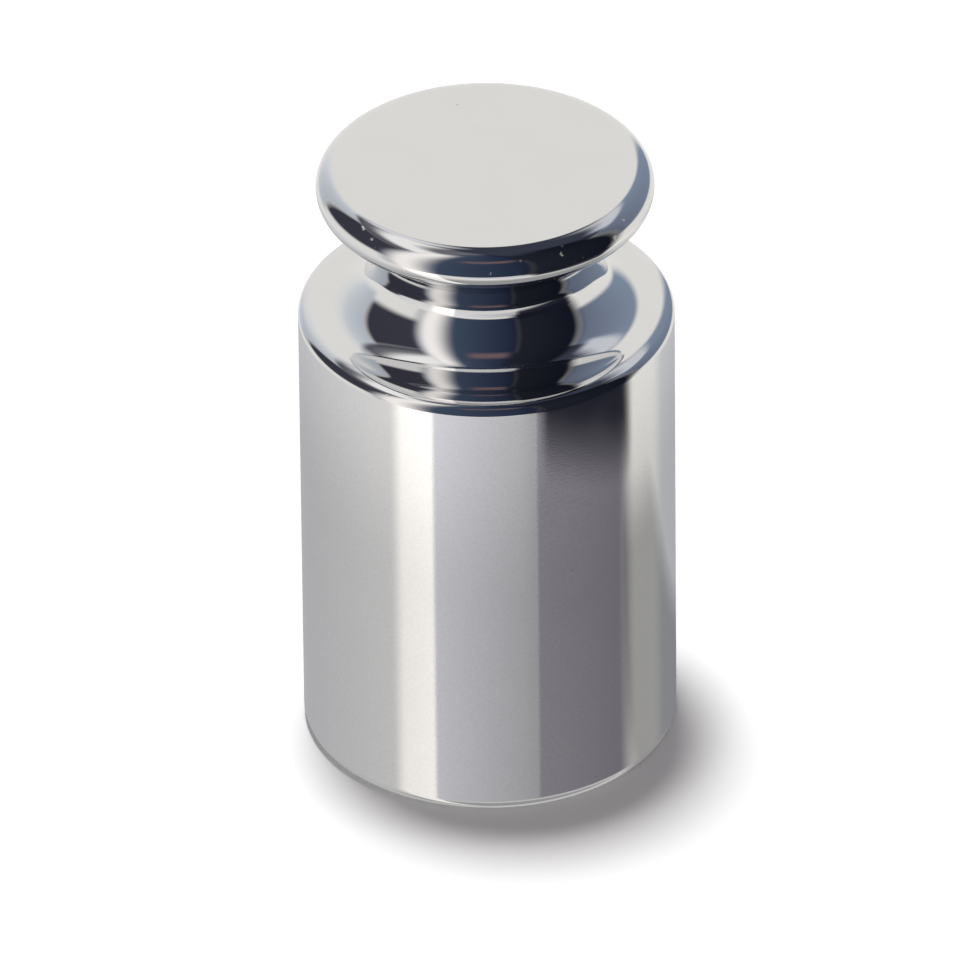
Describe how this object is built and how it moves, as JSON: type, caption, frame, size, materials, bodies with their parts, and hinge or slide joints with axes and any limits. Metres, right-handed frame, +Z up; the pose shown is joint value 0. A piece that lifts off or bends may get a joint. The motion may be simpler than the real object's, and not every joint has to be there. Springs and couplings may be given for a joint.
{
  "type": "calibration weight",
  "caption": "Cylindrical calibration weight in polished steel, with a round lifting knob on a concave waist.",
  "frame": {"origin": "centre of the flat base that the weight stands on", "axes": "+Z up along the axis of the body and the knob; the shape is turned about it, so X and Y are alike"},
  "size_m": [0.048, 0.048, 0.0833],
  "materials": {
    "polished_steel": "solid stainless steel polished to a mirror"
  },
  "bodies": {
    "root": {"weight": "polished_steel"}
  },
  "joints": []
}
